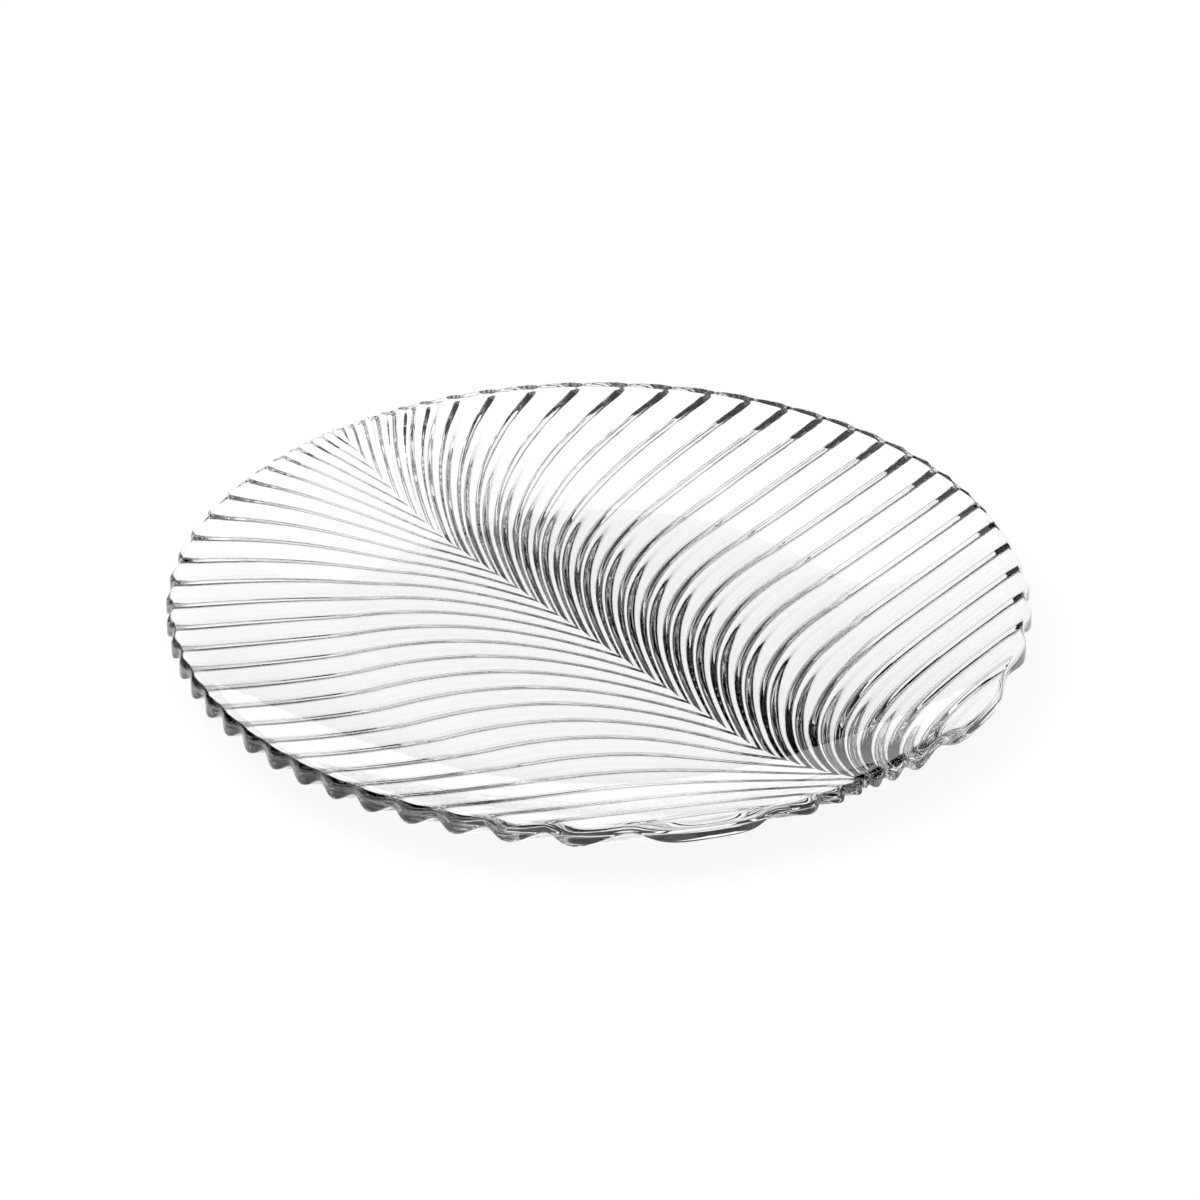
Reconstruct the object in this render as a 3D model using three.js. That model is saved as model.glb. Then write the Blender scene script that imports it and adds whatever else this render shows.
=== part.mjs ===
import * as THREE from "three";

// A round serving plate of clear pressed glass, one piece. The top is a smooth shallow dish.
// The underside is a feather: curved ribs leave a straight midrib and run out to the rim,
// where their rounded ends scallop the edge. Millimetres, +Z up, the feather's tip towards +Y,
// the midrib over the Y axis, the resting lands of the ribs on z = 0.

const PLATE_RADIUS = 160; // to the outermost point of a rib end
const PLATE_HEIGHT = 24.1; // from the resting lands to the top of the rim
const WELL_DEPTH = 17; // from the top of the rim down to the floor of the well
const WELL_RADIUS = 89.5; // where the level floor turns up into the flare
const FLARE_POWER = 1.54; // how the flare steepens towards the rim
const GROOVE_WALL = 4.2; // glass left between the dish and the bottom of a groove
const SCALLOP = 2; // how far a rib end stands out past the groove beside it
const EDGE_ROUND = 1; // chamfer that stands for the rounding of the rim's lower edge
const SHOULDER = 2.2; // height of the sloping shoulder between the rim's side and the dish

const RIB_COUNT = 28; // whole ribs on each side of the midrib, counted from the tip
const LAST_RIB = 0.5; // share of one more rib, cut by the rim beside the base
const RIB_GROWTH = 1.0189; // each rib is this many times as wide as the one before it
const RIB_RELIEF = 0.29; // height of a rib as a share of its own width
const GROOVE_EASE = 0.53; // how round the bottoms of the grooves are, 0 for sharp ones
const RIB_SWEEP = 189; // how far a rib is carried towards the tip before it levels out
const RIB_BEND = 63.5; // distance from the midrib in which half of that sweep happens
const RIB_DROOP = 0.344; // slope at which a rib falls back again towards the base

const COLUMNS_PER_RIB = 5;
const COLUMNS_LAST_RIB = 10;
const ROWS_PER_RIB = 10;
const ROW_EASE = 1.5; // rows lie closer together near the midrib, where the ribs bend most
const SECTORS = 96;
const FLARE_RINGS = 8;
const SEARCH_STEPS = 60; // halvings, enough for any length on the plate
const MERGE_DISTANCE = 1e-4; // points nearer than this are one point

const LAST_LINE = RIB_COUNT + LAST_RIB;
const RIM_RADIUS = PLATE_RADIUS - SCALLOP;
const DISH_RADIUS = RIM_RADIUS - EDGE_ROUND;

// Height of the smooth top over the distance from the centre: a level floor, then a flare.
function dishHeight(radius) {
  const climb = Math.max(0, (radius - WELL_RADIUS) / (DISH_RADIUS - WELL_RADIUS));
  return PLATE_HEIGHT - WELL_DEPTH * (1 - climb ** FLARE_POWER);
}

// How far a rib has moved towards the tip at the distance `across` from the midrib.
function ribShift(across) {
  return (RIB_SWEEP * across) / (RIB_BEND + across) - RIB_DROOP * across;
}

function ribSlope(across) {
  return (RIB_SWEEP * RIB_BEND) / (RIB_BEND + across) ** 2 - RIB_DROOP;
}

// The line farthest from the tip only touches the rim: where, and how far back its root lies.
function lastTouch() {
  let near = 0;
  let far = PLATE_RADIUS / 2;
  const radius = rimRadius(LAST_LINE) - EDGE_ROUND;
  const root = (across) => -Math.sqrt(radius ** 2 - across ** 2) - ribShift(across);
  for (let step = 0; step < SEARCH_STEPS; step++) {
    const third = (far - near) / 3;
    if (root(near + third) < root(far - third)) far -= third;
    else near += third;
  }
  return { across: near, root: root(near) };
}

const TOUCH = lastTouch();
const ROOT_SPAN = DISH_RADIUS - TOUCH.root;
const GROWTH_SPAN = RIB_GROWTH ** LAST_LINE - 1;

// Where rib number `rib` (a fraction is a place between two grooves) meets the midrib's line.
function ribRoot(rib) {
  return DISH_RADIUS - (ROOT_SPAN * (RIB_GROWTH ** rib - 1)) / GROWTH_SPAN;
}

function ribPitch(rib) {
  return (ROOT_SPAN * Math.log(RIB_GROWTH) * RIB_GROWTH ** rib) / GROWTH_SPAN;
}

// Round cross-section of a rib: 0 in the grooves on both sides, 1 on its crest.
function ribProfile(rib) {
  const eased = (wave) => Math.hypot(wave, GROOVE_EASE) - GROOVE_EASE;
  return eased(Math.sin(Math.PI * rib)) / eased(1);
}

function rimRadius(rib) {
  return RIM_RADIUS + SCALLOP * ribProfile(rib);
}

function bisect(inside, outside, isInside) {
  let a = inside;
  let b = outside;
  for (let step = 0; step < SEARCH_STEPS; step++) {
    const middle = (a + b) / 2;
    if (isInside(middle)) a = middle;
    else b = middle;
  }
  return a;
}

// The stretch of one rib line that lies on the plate, as distances from the midrib. Lines whose
// root lies on the plate start on the midrib, the others start on the rim beside the base.
function ribReach(rib) {
  const root = ribRoot(rib);
  const radius = rimRadius(rib) - EDGE_ROUND;
  const onPlate = (across) => Math.hypot(across, root + ribShift(across)) <= radius;
  const anchor = onPlate(0) ? 0 : TOUCH.across;
  const start = anchor === 0 ? 0 : bisect(anchor, 0, onPlate);
  return { start, end: bisect(anchor, PLATE_RADIUS, onPlate) };
}

// Point of the underside on rib line `rib`: the dish less the wall and the rib, with the crests
// cut level where they would pass below the resting plane.
function undersidePoint(rib, across) {
  const along = ribRoot(rib) + ribShift(across);
  const width = ribPitch(rib) / Math.hypot(1, ribSlope(across));
  const relief = RIB_RELIEF * width * ribProfile(rib);
  const height = dishHeight(Math.hypot(across, along)) - GROOVE_WALL - relief;
  return new THREE.Vector3(across, along, Math.max(0, height));
}

// Rib numbers of the grid's columns, with one more where the midrib ends at the base. The last
// rib lies along the rim, so its columns crowd towards the line that only touches the rim.
function columnNumbers() {
  const beforeBase = (rib) => ribRoot(rib) > EDGE_ROUND - rimRadius(rib);
  const columns = [bisect(0, LAST_LINE, beforeBase)];
  for (let step = 0; step < RIB_COUNT * COLUMNS_PER_RIB; step++) {
    columns.push(step / COLUMNS_PER_RIB);
  }
  for (let step = 0; step <= COLUMNS_LAST_RIB; step++) {
    columns.push(LAST_LINE - LAST_RIB * (1 - step / COLUMNS_LAST_RIB) ** 2);
  }
  return columns.sort((a, b) => a - b);
}

function undersideColumn(rib) {
  const reach = ribReach(rib);
  const column = [];
  for (let row = 0; row <= ROWS_PER_RIB; row++) {
    const share = (row / ROWS_PER_RIB) ** ROW_EASE;
    column.push(undersidePoint(rib, reach.start + (reach.end - reach.start) * share));
  }
  return column;
}

function mirrored(point) {
  return new THREE.Vector3(-point.x, point.y, point.z);
}

// A point carried out or in to `radius` on its own bearing and set to `height`.
function atRadius(point, radius, height) {
  const scale = radius / Math.hypot(point.x, point.y);
  return new THREE.Vector3(point.x * scale, point.y * scale, height);
}

function addTriangle(soup, a, b, c) {
  const sides = [a.distanceTo(b), b.distanceTo(c), c.distanceTo(a)];
  if (Math.min(...sides) > MERGE_DISTANCE) soup.push(a, b, c);
}

function addQuad(soup, a, b, c, d) {
  addTriangle(soup, a, b, c);
  addTriangle(soup, a, c, d);
}

// A band between two closed loops of equally many points.
function addBand(soup, lower, upper) {
  for (let i = 0; i < lower.length; i++) {
    const j = (i + 1) % lower.length;
    addQuad(soup, lower[i], lower[j], upper[j], upper[i]);
  }
}

function addUnderside(soup, columns) {
  for (let i = 0; i + 1 < columns.length; i++) {
    for (let row = 0; row < ROWS_PER_RIB; row++) {
      const corners = [
        columns[i][row],
        columns[i][row + 1],
        columns[i + 1][row + 1],
        columns[i + 1][row],
      ];
      addQuad(soup, corners[0], corners[1], corners[2], corners[3]);
      const twins = corners.map(mirrored);
      addQuad(soup, twins[0], twins[3], twins[2], twins[1]);
    }
  }
}

// The underside's border, once round against the clock from the tip, with the rim radius there.
function undersideBorder(ribs, columns) {
  const half = [];
  ribs.forEach((rib, i) => {
    half.push({ point: columns[i][ROWS_PER_RIB], radius: rimRadius(rib) });
  });
  for (let i = ribs.length - 2; i >= 0 && columns[i + 1][0].x > MERGE_DISTANCE; i--) {
    half.push({ point: columns[i][0], radius: rimRadius(ribs[i]) });
  }
  const left = half.map(({ point, radius }) => ({ point: mirrored(point), radius }));
  const right = half.slice(1, -1).reverse();
  return [...left, ...right];
}

function ring(radius) {
  const points = [];
  for (let i = 0; i < SECTORS; i++) {
    const bearing = Math.PI / 2 + (2 * Math.PI * i) / SECTORS;
    const x = radius * Math.cos(bearing);
    const y = radius * Math.sin(bearing);
    points.push(new THREE.Vector3(x, y, dishHeight(radius)));
  }
  return points;
}

// Bearing from the tip, against the clock, as a share of a full turn.
function turn(point) {
  const share = Math.atan2(-point.x, point.y) / (2 * Math.PI);
  return share < -MERGE_DISTANCE ? share + 1 : share;
}

// Joins two loops of different counts that both start at the tip, always taking the nearer step.
function addJoint(soup, outer, inner) {
  const at = (loop, i) => loop[i % loop.length];
  const turnAt = (loop, i) => (i < loop.length ? turn(loop[i]) : 1);
  let i = 0;
  let j = 0;
  while (i < outer.length || j < inner.length) {
    const stepOuter = j >= inner.length
      || (i < outer.length && turnAt(outer, i + 1) <= turnAt(inner, j + 1));
    if (stepOuter) {
      addTriangle(soup, at(outer, i), at(outer, i + 1), at(inner, j));
      i++;
    } else {
      addTriangle(soup, at(outer, i), at(inner, j + 1), at(inner, j));
      j++;
    }
  }
}

// The smooth top: rings down the flare, then the level floor of the well.
function addDish(soup, outerRing) {
  let upper = outerRing;
  for (let step = 1; step <= FLARE_RINGS; step++) {
    const radius = DISH_RADIUS + ((WELL_RADIUS - DISH_RADIUS) * step) / FLARE_RINGS;
    const lower = ring(radius);
    addBand(soup, upper, lower);
    upper = lower;
  }
  const centre = new THREE.Vector3(0, 0, dishHeight(0));
  upper.forEach((point, i) => addTriangle(soup, point, upper[(i + 1) % SECTORS], centre));
}

function plateGeometry() {
  const soup = [];
  const ribs = columnNumbers();
  const columns = ribs.map(undersideColumn);
  addUnderside(soup, columns);
  const border = undersideBorder(ribs, columns);
  const under = border.map(({ point }) => point);
  const belly = border.map(({ point, radius }) => atRadius(point, radius, point.z + EDGE_ROUND));
  const side = border.map(({ point, radius }) => atRadius(point, radius, PLATE_HEIGHT - SHOULDER));
  addBand(soup, under, belly);
  addBand(soup, belly, side);
  const outerRing = ring(DISH_RADIUS);
  addJoint(soup, side, outerRing);
  addDish(soup, outerRing);
  const geometry = new THREE.BufferGeometry().setFromPoints(soup);
  geometry.computeVertexNormals();
  return geometry;
}

function clearGlass() {
  return new THREE.MeshStandardMaterial({ color: 0xf2f6f5, roughness: 0.04, metalness: 0 });
}

const plate = new THREE.Mesh(plateGeometry(), clearGlass());
plate.name = "plate";

const object = new THREE.Group();
object.name = "serving_plate";
object.add(plate);

export default object;
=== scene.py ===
# %% [markdown]
# # A serving plate of clear pressed glass
#
# The real plate is one pressing of colourless glass. Its top is a smooth shallow dish, and its
# underside is a feather: curved ribs that leave a straight midrib and run out to the rim, where
# their round ends scallop the edge. Nothing is painted on it. All that the eye sees is how the
# ribs bend and mirror the studio, so this lesson spends its care on the shape of the ribs, on
# the glass, and on what stands round the plate.

import bmesh
import bpy
import numpy as np
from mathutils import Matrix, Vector


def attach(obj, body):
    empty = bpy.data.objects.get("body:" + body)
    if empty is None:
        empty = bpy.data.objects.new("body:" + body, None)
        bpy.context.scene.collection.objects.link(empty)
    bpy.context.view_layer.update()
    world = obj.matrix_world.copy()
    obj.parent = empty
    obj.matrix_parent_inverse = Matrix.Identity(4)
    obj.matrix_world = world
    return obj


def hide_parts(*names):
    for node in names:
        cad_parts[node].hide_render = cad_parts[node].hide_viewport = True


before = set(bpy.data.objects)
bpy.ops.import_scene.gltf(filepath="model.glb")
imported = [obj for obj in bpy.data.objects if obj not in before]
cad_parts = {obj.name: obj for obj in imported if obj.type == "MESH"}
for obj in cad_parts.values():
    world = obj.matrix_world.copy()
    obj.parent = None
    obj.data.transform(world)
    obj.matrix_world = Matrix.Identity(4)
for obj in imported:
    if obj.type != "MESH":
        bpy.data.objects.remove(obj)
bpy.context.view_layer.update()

# %% [markdown]
# ## The sizes of the plate
#
# The solid of the part is a plate of flat triangles. A lens shows every flat, so the looks need
# the same plate with far finer steps. It is worked out again here from the same sizes and rules.

# %% Sizes
MM = 0.001
PLATE_RADIUS = 160 * MM  # to the outermost point of a rib end
PLATE_HEIGHT = 24.1 * MM
WELL_DEPTH = 17 * MM
WELL_RADIUS = 89.5 * MM
FLARE_POWER = 1.54  # above 1 the flare steepens towards the rim
GROOVE_WALL = 4.2 * MM  # glass between the dish and the bottom of a groove
SCALLOP = 2 * MM  # how far a rib end stands out past the grooves beside it
EDGE_ROUND = 1 * MM  # round along the lower edge of the rim
SHOULDER = 2.2 * MM  # height of the round shoulder from the outside of the rim up to the dish
RIM_RADIUS = PLATE_RADIUS - SCALLOP
DISH_RADIUS = RIM_RADIUS - EDGE_ROUND
print(f"plate {2000 * PLATE_RADIUS:.0f} mm across, well {2000 * WELL_RADIUS:.0f} mm")


def dish_height(radius):
    """Top of the glass: level in the well, then a power of the distance past it, up to the rim."""
    climb = np.maximum(0, (radius - WELL_RADIUS) / (DISH_RADIUS - WELL_RADIUS))
    return PLATE_HEIGHT - WELL_DEPTH * (1 - climb ** FLARE_POWER)


# %% [markdown]
# ## The line of a rib
#
# All ribs follow one curve, moved along the midrib. It leaves the midrib steeply towards the
# tip, bends, and falls back a little on its way to the rim. A rib could be drawn as a curve and
# copied, but then each copy would need trimming at the rim. A formula is easier: one number says
# which rib, the other how far out from the midrib.

# %% Rib lines
RIB_COUNT = 28  # whole ribs on each side of the midrib
LAST_RIB = 0.5  # share of one more rib, cut by the rim beside the base
LAST_LINE = RIB_COUNT + LAST_RIB
RIB_GROWTH = 1.0189  # each rib is this many times as wide as the one before it
RIB_SWEEP = 189 * MM  # towards the tip, if a rib went on for ever without its droop
RIB_BEND = 63.5 * MM  # distance from the midrib where half of that sweep is done
RIB_DROOP = 0.344  # how steeply a rib falls back on its way out
HALVINGS = 50
TOUCH_STEPS = 200001


def rib_shift(across):
    """How far a rib has gone towards the tip: a curve that saturates, less a straight droop."""
    return RIB_SWEEP * across / (RIB_BEND + across) - RIB_DROOP * across


def rib_slope(across):
    """The slope of that curve."""
    return RIB_SWEEP * RIB_BEND / (RIB_BEND + across) ** 2 - RIB_DROOP


def bisect(inside, outside, is_inside):
    """Halves the stretch between a value inside and a value outside, for whole arrays at once."""
    for _ in range(HALVINGS):
        middle = (inside + outside) / 2
        kept = is_inside(middle)
        inside = np.where(kept, middle, inside)
        outside = np.where(kept, outside, middle)
    return inside


def last_touch():
    """The last line only touches the rim: the place where its root lies farthest back."""
    across = np.linspace(0, PLATE_RADIUS / 2, TOUCH_STEPS)
    root = -np.sqrt((PLATE_RADIUS - EDGE_ROUND) ** 2 - across ** 2) - rib_shift(across)
    nearest = np.argmin(root)
    return across[nearest], root[nearest]


TOUCH_ACROSS, LAST_ROOT = last_touch()
ROOT_SPAN = DISH_RADIUS - LAST_ROOT
GROWTH_SPAN = RIB_GROWTH ** LAST_LINE - 1


def rib_root(rib):
    """Where rib line number `rib` meets the midrib: steps that grow by a fixed factor."""
    return DISH_RADIUS - ROOT_SPAN * (RIB_GROWTH ** rib - 1) / GROWTH_SPAN


def rib_pitch(rib):
    """The step from one rib to the next there: the slope of rib_root, without its sign."""
    return ROOT_SPAN * np.log(RIB_GROWTH) * RIB_GROWTH ** rib / GROWTH_SPAN


tip_pitch, base_pitch = rib_pitch(0) / MM, rib_pitch(RIB_COUNT) / MM
print(f"rib pitch {tip_pitch:.1f} mm at the tip, {base_pitch:.1f} mm at the base")

# %% [markdown]
# ## The underside
#
# A press tool is cut with a round-nosed cutter, so the ribs are round and the grooves between
# them end in a small round too. The cross-section is the absolute value of a sine wave, with its
# sharp corner eased. The crests below the well are cut on one plane, so that the plate stands
# still.

# %% Rib cross-section
RIB_RELIEF = 0.29  # height of a rib as a share of its own width
GROOVE_EASE = 0.53  # how round the bottom of a groove is
LAND_EASE = 0.25 * MM  # how softly a crest goes over into the plane it stands on


def rib_profile(rib):
    """0 in the grooves, 1 on the crest: the root of a squared sine plus a small square, rescaled."""
    eased = np.sqrt(np.sin(np.pi * rib) ** 2 + GROOVE_EASE ** 2) - GROOVE_EASE
    return eased / (np.sqrt(1 + GROOVE_EASE ** 2) - GROOVE_EASE)


def rim_radius(rib):
    """The scalloped rim: a circle, with each rib end standing out by its own cross-section."""
    return RIM_RADIUS + SCALLOP * rib_profile(rib)


def underside_height(rib, across):
    """The dish, less the wall and the rib, with the crests eased to level at zero."""
    along = rib_root(rib) + rib_shift(across)
    width = rib_pitch(rib) / np.hypot(1, rib_slope(across))
    relief = RIB_RELIEF * width * rib_profile(rib)
    height = dish_height(np.hypot(across, along)) - GROOVE_WALL - relief
    return (height + np.sqrt(height ** 2 + LAND_EASE ** 2)) / 2


print("a rib is", RIB_RELIEF, "of its width high")

# %% [markdown]
# ## The grid of the underside
#
# Columns follow the rib lines, and rows cross them in steps out from the midrib. So the edges of
# the mesh lie along the grooves, which are the sharpest part of the surface, and the columns crowd
# there.

# %% Rib grid
STEPS_PER_RIB = 14
STEPS_LAST_RIB = 28
ROWS_PER_RIB = 64
GROOVE_CROWDING = 0.6  # how much closer together the columns stand in a groove
ROW_EASE = 1.5  # above 1 the rows crowd towards the midrib


def rib_columns():
    """Rib numbers of the grid's columns, crowded in the grooves and towards the last rib line."""
    step = np.arange(STEPS_PER_RIB) / STEPS_PER_RIB
    crowded = step - GROOVE_CROWDING * np.sin(2 * np.pi * step) / (2 * np.pi)
    ribs = (np.arange(RIB_COUNT)[:, None] + crowded).ravel()
    last = LAST_LINE - LAST_RIB * (1 - np.linspace(0, 1, STEPS_LAST_RIB + 1)) ** 2
    base = bisect(0.0, LAST_LINE, lambda rib: rib_root(rib) > EDGE_ROUND - rim_radius(rib))
    return np.sort(np.concatenate([ribs, last, [base]])), float(base)


def rib_reach(rib):
    """Where each rib line starts, on the midrib or on the rim, and where it ends on the rim."""
    root = rib_root(rib)
    radius = rim_radius(rib) - EDGE_ROUND

    def on_plate(across):
        return np.hypot(across, root + rib_shift(across)) <= radius

    at_midrib = on_plate(np.zeros_like(root))
    anchor = np.where(at_midrib, 0, TOUCH_ACROSS)
    start = np.where(at_midrib, 0, bisect(anchor, np.zeros_like(root), on_plate))
    return start, bisect(anchor, np.full_like(root, PLATE_RADIUS), on_plate)


def underside_grid(columns):
    """Points of one half, columns by rows: rows lie closer together near the midrib."""
    start, end = rib_reach(columns)
    share = np.linspace(0, 1, ROWS_PER_RIB + 1) ** ROW_EASE
    across = start[:, None] + (end - start)[:, None] * share
    along = rib_root(columns)[:, None] + rib_shift(across)
    return np.stack([across, along, underside_height(columns[:, None], across)], axis=-1)


columns, base_rib = rib_columns()
right_half = underside_grid(columns)
left_half = right_half * [-1, 1, 1]
print("underside grid", right_half.shape, "lowest", right_half[..., 2].min())

# %% [markdown]
# ## The rim and the dish
#
# The border of the underside is the wavy lower edge of the rim. From it the outside goes round a
# small radius, up the side, over a round shoulder and down into the dish. Each border point is
# carried along that profile on its own bearing, so the scallops reach up to the shoulder and fade
# out on it towards the edge of the dish, which is a true circle.

# %% Border of the underside
base_column = int(np.argmin(np.abs(columns - base_rib)))
half_border = np.concatenate([right_half[:, -1], right_half[base_column:-1, 0][::-1]])
half_ribs = np.concatenate([columns, columns[base_column:-1][::-1]])
border = np.concatenate([half_border * [-1, 1, 1], half_border[1:-1][::-1]])
border_ribs = np.concatenate([half_ribs, half_ribs[1:-1][::-1]])
print("border points", len(border))

# %% [markdown]
# ## The outside and the top
#
# One grid covers all that is left: the lower round, the side, the shoulder and the dish. Each row
# is one ring, and each ring has as many points as the border, down to the centre of the dish.

# %% Rim and dish grid
ROUND_STEPS = 6
SIDE_STEPS = 4
DISH_STEPS = 22
DISH_EASE = 0.8  # below 1 the rings crowd towards the rim


def rim_and_dish(border, ribs):
    """Rows from the border outwards and up, then over the edge and in to the centre of the dish."""
    bearing = border[:, :2] / np.linalg.norm(border[:, :2], axis=1, keepdims=True)
    reach = rim_radius(ribs)
    low = border[:, 2]
    turn = np.linspace(0, np.pi / 2, ROUND_STEPS + 1)[:, None]
    side = np.linspace(0, 1, SIDE_STEPS + 1)[1:-1, None]
    inwards = np.linspace(1, 0, DISH_STEPS + 1)[1:, None] ** DISH_EASE
    radius = np.concatenate([
        reach - EDGE_ROUND + EDGE_ROUND * np.sin(turn),
        reach + 0 * side,
        DISH_RADIUS + (reach - DISH_RADIUS) * np.cos(turn),
        DISH_RADIUS * inwards + 0 * reach,
    ])
    height = np.concatenate([
        low + EDGE_ROUND - EDGE_ROUND * np.cos(turn),
        low + EDGE_ROUND + (PLATE_HEIGHT - SHOULDER - EDGE_ROUND - low) * side,
        PLATE_HEIGHT - SHOULDER + SHOULDER * np.sin(turn) + 0 * low,
        dish_height(DISH_RADIUS * inwards) + 0 * low,
    ])
    return np.concatenate([bearing * radius[..., None], height[..., None]], axis=-1)


outside = rim_and_dish(border, border_ribs)
print("rim and dish grid", outside.shape)

# %% [markdown]
# ## One closed skin
#
# The three grids share their border points, so they are put into one mesh and points that fall
# together are merged. That also closes the pole in the middle of the dish, the tip, and the two
# places where the last rib lines only touch the rim.

# %% Mesh of the plate
MERGE_DISTANCE = 0.002 * MM


def grid_quads(rows, steps, first, closed):
    """Corner numbers of the quads of a grid of rows by steps, wrapped round where it is closed."""
    row = np.arange(rows - 1)[:, None]
    step = np.arange(steps if closed else steps - 1)[None, :]
    after = (step + 1) % steps
    corners = [row * steps + step, row * steps + after, (row + 1) * steps + after, (row + 1) * steps + step]
    return first + np.stack(np.broadcast_arrays(*corners), axis=-1).reshape(-1, 4)


def plate_mesh():
    """Puts the grids into one mesh, merges shared points and shades it smooth."""
    grids = [right_half, left_half, outside]
    firsts = np.cumsum([0] + [grid.shape[0] * grid.shape[1] for grid in grids])
    quads = np.concatenate([
        grid_quads(*right_half.shape[:2], firsts[0], False),
        grid_quads(*left_half.shape[:2], firsts[1], False)[:, ::-1],
        grid_quads(*outside.shape[:2], firsts[2], True),
    ])
    points = np.concatenate([grid.reshape(-1, 3) for grid in grids])
    mesh = bpy.data.meshes.new("plate_glass")
    mesh.from_pydata(points.tolist(), [], quads.tolist())
    work = bmesh.new()
    work.from_mesh(mesh)
    bmesh.ops.remove_doubles(work, verts=work.verts, dist=MERGE_DISTANCE)
    bmesh.ops.recalc_face_normals(work, faces=work.faces)
    bmesh.ops.triangulate(work, faces=work.faces)
    open_edges = 2 * len(work.edges) - 3 * len(work.faces)
    volume = work.calc_volume(signed=True)
    work.to_mesh(mesh)
    work.free()
    mesh.polygons.foreach_set("use_smooth", np.ones(len(mesh.polygons), bool))
    print("triangles", len(mesh.polygons), "open edges", open_edges, f"volume {volume * 1e6:.0f} cm3")
    return mesh


plate = bpy.data.objects.new("plate_glass", plate_mesh())
bpy.context.scene.collection.objects.link(plate)
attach(plate, "root")
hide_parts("plate")

# %% [markdown]
# ## Nodes and colours
#
# Materials are trees of nodes. One small function adds a node and fills its inputs, and another
# turns the hex colours that people write into the linear numbers that the shaders take.

# %% Node helper and colours
def linear(hex_colour):
    """sRGB hex to the linear numbers that the shaders take: the standard two-part curve."""
    value = np.array([int(hex_colour[i:i + 2], 16) for i in (0, 2, 4)]) / 255
    curve = np.where(value <= 0.04045, value / 12.92, ((value + 0.055) / 1.055) ** 2.4)
    return (*curve.tolist(), 1.0)


def add(tree, kind, inputs=(), **settings):
    """Adds a node of this kind, sets its settings, and fills inputs with values or links."""
    made = tree.nodes.new(kind)
    for name, value in settings.items():
        setattr(made, name, value)
    for name, value in dict(inputs).items():
        if isinstance(value, bpy.types.NodeSocket):
            tree.links.new(value, made.inputs[name])
        else:
            made.inputs[name].default_value = value
    return made


def new_tree(owner):
    """An empty node tree on a material or the world."""
    owner.use_nodes = True
    owner.node_tree.nodes.clear()
    return owner.node_tree


print("hex 808080 is", round(linear("808080")[0], 3), "in linear light")

# %% [markdown]
# ## The glass
#
# Pressed soda-lime glass, fire-polished: the surface is melted smooth after pressing, so it is
# clear and sharp, but not as flat as ground glass. A faint ripple from the tool stays in it. It
# is drawn as a bump with a wavelength of a few millimetres.

# %% Pressed glass
GLASS_INDEX = 1.52
RIPPLE = 7 * MM  # length of the tool's ripple
RIPPLE_DEPTH = 0.1 * MM
RIPPLE_SHARE = 0.4  # how much of that depth is left after the polishing
MOST_ROUGH = 0.02


def pressed_glass():
    """Soda-lime glass: clear, with a trace of ripple in bump and roughness."""
    glass = bpy.data.materials.new("soda_lime_glass_fire_polished")
    tree = new_tree(glass)
    place = add(tree, "ShaderNodeTexCoord").outputs["Object"]
    ripple = add(tree, "ShaderNodeTexNoise", {"Vector": place, "Scale": 1 / RIPPLE, "Detail": 2.0})
    bump = add(tree, "ShaderNodeBump", {
        "Height": ripple.outputs["Fac"], "Strength": RIPPLE_SHARE, "Distance": RIPPLE_DEPTH,
    })
    rough = add(tree, "ShaderNodeMapRange", {
        "Value": ripple.outputs["Fac"], "To Min": 0.0, "To Max": MOST_ROUGH,
    })
    surface = add(tree, "ShaderNodeBsdfPrincipled", {
        "Base Color": linear("fdfefe"), "Transmission Weight": 1.0, "IOR": GLASS_INDEX,
        "Roughness": rough.outputs["Result"], "Normal": bump.outputs["Normal"],
    })
    add(tree, "ShaderNodeOutputMaterial", {"Surface": surface.outputs["BSDF"]})
    return glass


plate.data.materials.append(pressed_glass())
print("glass on", plate.name)

# %% [markdown]
# ## The camera
#
# The picture looks down on the plate at about 31 degrees, with the midrib running from the far
# left to the near right, from far away with a long lens. The camera comes before the studio,
# because the cloth in the studio is hung by the way the camera looks.

# %% Camera
ELEVATION = np.radians(31.3)
HEADING = np.array([0.6137, 0.7895])  # the way the camera looks, on the floor
DISTANCE = 5.7
FRAME_WIDTH = 0.4434  # width of the picture at the plate
TARGET = Vector((0.0002, -0.0005, 0.0237))
SENSOR = 36  # millimetres
FAR_LIMIT = 100

camera_data = bpy.data.cameras.new("camera")
camera_data.sensor_width = SENSOR
camera_data.lens = SENSOR * DISTANCE / FRAME_WIDTH
camera_data.clip_end = FAR_LIMIT
camera = bpy.data.objects.new("camera", camera_data)
backwards = Vector((*(-HEADING * np.cos(ELEVATION)), np.sin(ELEVATION))).normalized()
camera.location = TARGET + DISTANCE * backwards
camera.rotation_euler = backwards.to_track_quat("Z", "Y").to_euler()
bpy.context.scene.collection.objects.link(camera)
bpy.context.scene.camera = camera
print("lens", round(camera_data.lens, 1), "mm")

# %% [markdown]
# ## The studio
#
# Clear glass shows only what stands round it. The table and the surroundings are white, to the
# camera and to the glass. Black cloth hangs round the plate out of the picture, with gaps in it.
# The table shines through the glass between the rib lines. A steep flank of a rib is a mirror on
# the inside and shows the cloth or a gap instead, and that draws the lines.

# %% White surroundings
ROOM_LIGHT = 0.6


def seen_directly(tree):
    """1 for the rays of the camera and those that come off or through the glass, else 0."""
    path = add(tree, "ShaderNodeLightPath")
    first = add(tree, "ShaderNodeMath", {
        0: path.outputs["Is Camera Ray"], 1: path.outputs["Is Glossy Ray"],
    }, operation="MAXIMUM")
    return add(tree, "ShaderNodeMath", {
        0: first.outputs[0], 1: path.outputs["Is Transmission Ray"],
    }, operation="MAXIMUM").outputs[0]


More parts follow.
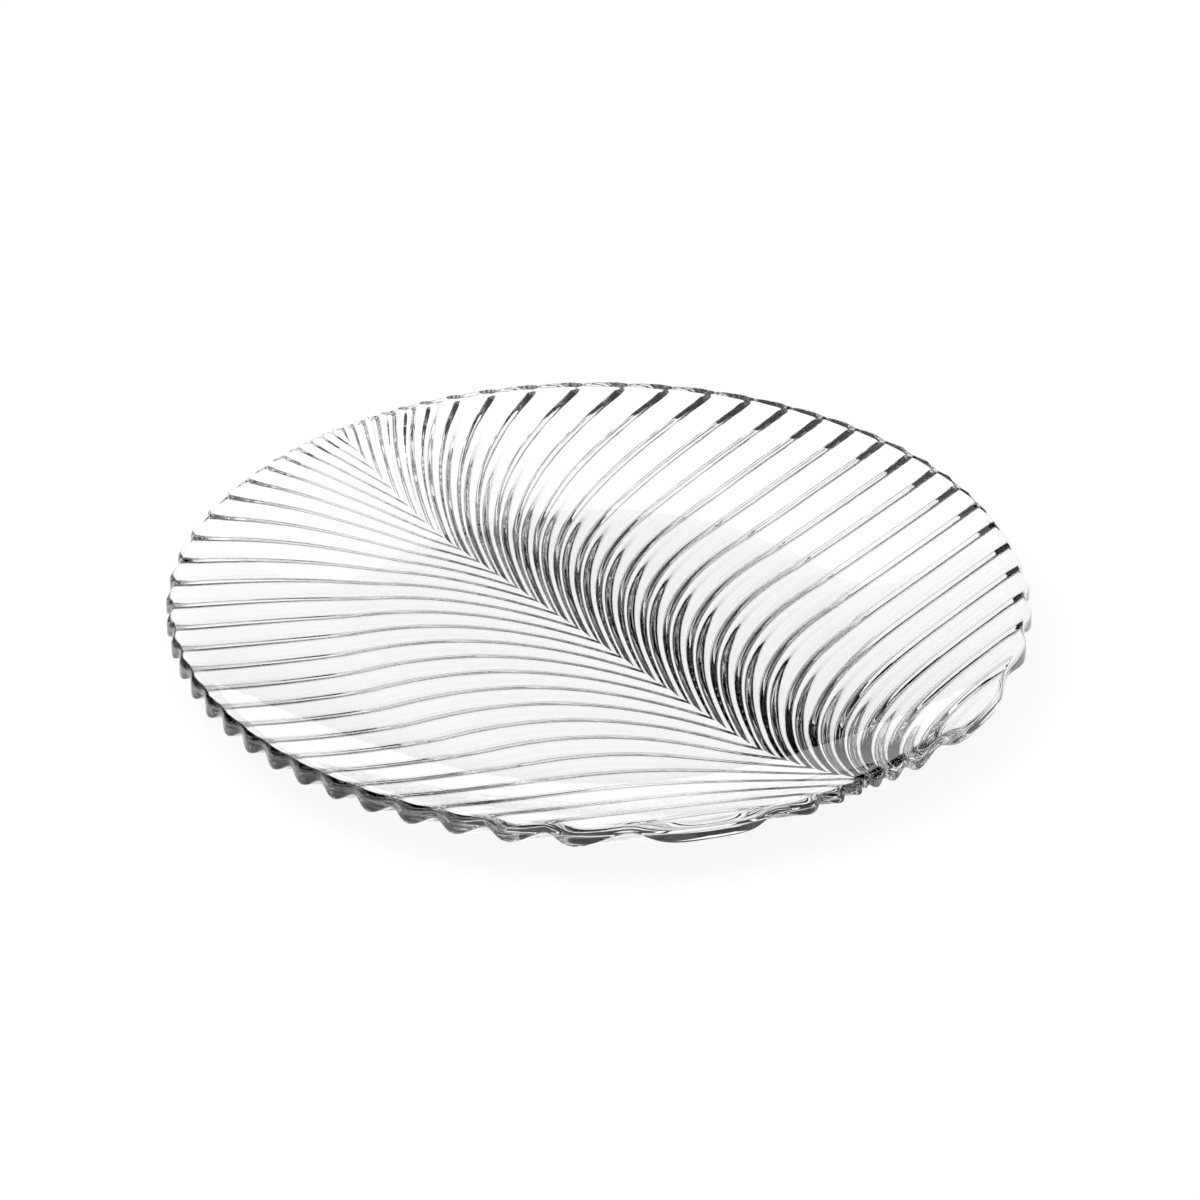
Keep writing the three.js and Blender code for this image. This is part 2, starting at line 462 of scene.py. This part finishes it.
def white_surroundings():
    """World: white where it is seen, a plain even light where it falls on the table."""
    world = bpy.data.worlds.new("white_surroundings")
    tree = new_tree(world)
    lit = add(tree, "ShaderNodeBackground", {"Color": linear("ffffff"), "Strength": ROOM_LIGHT})
    seen = add(tree, "ShaderNodeBackground", {"Color": linear("ffffff"), "Strength": 1.0})
    mixed = add(tree, "ShaderNodeMixShader", {
        0: seen_directly(tree), 1: lit.outputs[0], 2: seen.outputs[0],
    })
    add(tree, "ShaderNodeOutputWorld", {"Surface": mixed.outputs[0]})
    return world


bpy.context.scene.world = white_surroundings()
print("room light", ROOM_LIGHT)

# %% [markdown]
# ## The table
#
# White paper. Most of its white is an even glow, and a small share is lit grey, which keeps the
# faint shadow of the plate. Below the plate that share lies in shade, so the glass is shown a glow
# that is white by itself.

# %% White table
FLOOR_DROP = 0.3 * MM
FLOOR_SIZE = 12.0
PAPER_GLOW = 0.88  # with the lit grey of the paper it makes white


def table_paper():
    """Lit grey paper that keeps the shadow, plus an even glow that lifts it to white."""
    paper = bpy.data.materials.new("white_paper_matt")
    tree = new_tree(paper)
    lit = add(tree, "ShaderNodeBsdfDiffuse", {"Color": linear("6e6e6e")})
    to_camera = add(tree, "ShaderNodeLightPath").outputs["Is Camera Ray"]
    white = add(tree, "ShaderNodeMapRange", {"Value": to_camera, "To Min": 1.0, "To Max": PAPER_GLOW})
    level = add(tree, "ShaderNodeMath", {0: seen_directly(tree), 1: white.outputs[0]}, operation="MULTIPLY")
    glow = add(tree, "ShaderNodeEmission", {"Color": linear("ffffff"), "Strength": level.outputs[0]})
    both = add(tree, "ShaderNodeAddShader", {0: lit.outputs[0], 1: glow.outputs[0]})
    add(tree, "ShaderNodeOutputMaterial", {"Surface": both.outputs[0]})
    return paper


def staged_sheet(name, points, quads, material):
    """A sheet that belongs to the studio and not to the part."""
    mesh = bpy.data.meshes.new(name)
    mesh.from_pydata(points.tolist(), [], quads.tolist())
    mesh.materials.append(material)
    sheet = bpy.data.objects.new(name, mesh)
    bpy.context.scene.collection.objects.link(sheet)
    return sheet


half = FLOOR_SIZE / 2
floor_corners = np.array([(-half, -half), (half, -half), (half, half), (-half, half)])
floor_points = np.column_stack([floor_corners, np.full(4, -FLOOR_DROP)])
staged_sheet("floor", floor_points, np.arange(4)[None, :], table_paper())
print("table", FLOOR_SIZE, "m")

# %% [markdown]
# ## The black cloth
#
# Photographers hang black cloth round glass to draw its edges. Here it is a dome with three gaps.
# The gap low behind the plate fills the mirror images in the front of the dish. The one high
# behind it makes the lines pale in the well and towards the far rim. The one on the right
# brightens the ends of the ribs along the near rim. Only the glass sees the cloth, so the light
# on the table stays even.

# %% Black cloth
CLOTH_DISTANCE = 1.2
CLOTH_STEP = 4  # degrees
# degrees to the right of the camera's heading, from and to, then degrees up, from and to
CLOTH = [
    (30, 83, 0, 14),
    (147, 330, 0, 14),
    (147, 443, 14, 36),
    (22, 83, 36, 45),
    (147, 338, 36, 45),
    (22, 338, 45, 70),
    (0, 360, 70, 90),
]


def cloth_patch(side_from, side_to, low, high):
    """Part of a sphere round the plate: points by bearing and by angle up, on an even grid."""
    sides = np.linspace(side_from, side_to, int((side_to - side_from) / CLOTH_STEP) + 2)
    bearing = np.arctan2(HEADING[1], HEADING[0]) - np.radians(sides)[None, :]
    up = np.radians(np.linspace(low, high, int((high - low) / CLOTH_STEP) + 2))[:, None]
    points = np.stack(np.broadcast_arrays(
        np.cos(up) * np.cos(bearing), np.cos(up) * np.sin(bearing), np.sin(up),
    ), axis=-1)
    return CLOTH_DISTANCE * points


def black_cloth():
    """Matt black cloth."""
    cloth = bpy.data.materials.new("black_cloth_matt")
    tree = new_tree(cloth)
    matt = add(tree, "ShaderNodeBsdfDiffuse", {"Color": linear("060606")})
    add(tree, "ShaderNodeOutputMaterial", {"Surface": matt.outputs[0]})
    return cloth


def hang_cloth():
    """All patches in one mesh, seen by the glass alone."""
    patches = [cloth_patch(*limits) for limits in CLOTH]
    firsts = np.cumsum([0] + [patch.shape[0] * patch.shape[1] for patch in patches])
    quads = [grid_quads(*patch.shape[:2], first, False) for patch, first in zip(patches, firsts)]
    points = np.concatenate([patch.reshape(-1, 3) for patch in patches])
    cloth = staged_sheet("black_cloth", points, np.concatenate(quads), black_cloth())
    cloth.visible_camera = False
    cloth.visible_diffuse = False
    cloth.visible_shadow = False
    return cloth


cloth = hang_cloth()
print("cloth", len(cloth.data.polygons), "faces at", CLOTH_DISTANCE, "m")

# %% [markdown]
# ## The lamp
#
# One large round softbox high on the left gives the plate its faint soft shadow. The ribs pass
# light on from one to the next, so it may be mirrored nine times on its way. What is mirrored
# more often is left out, and that darkens the steep ribs along the midrib and the near rim.

# %% Soft light
LAMP_PLACE = Vector((-0.9, 0.3, 2.0))
LAMP_SIZE = 1.6
LAMP_POWER = 18  # watts
MIRROR_BOUNCES = 9
GLASS_BOUNCES = 24

softbox = bpy.data.lights.new("softbox", "AREA")
softbox.shape = "DISK"
softbox.size = LAMP_SIZE
softbox.energy = LAMP_POWER
lamp = bpy.data.objects.new("softbox", softbox)
lamp.location = LAMP_PLACE
lamp.rotation_euler = LAMP_PLACE.to_track_quat("Z", "Y").to_euler()
bpy.context.scene.collection.objects.link(lamp)
bpy.context.scene.view_settings.view_transform = "Standard"
bpy.context.scene.cycles.glossy_bounces = MIRROR_BOUNCES
bpy.context.scene.cycles.transmission_bounces = GLASS_BOUNCES
bpy.context.scene.cycles.max_bounces = 2 * GLASS_BOUNCES
print("softbox", LAMP_SIZE, "m across,", LAMP_POWER, "W")
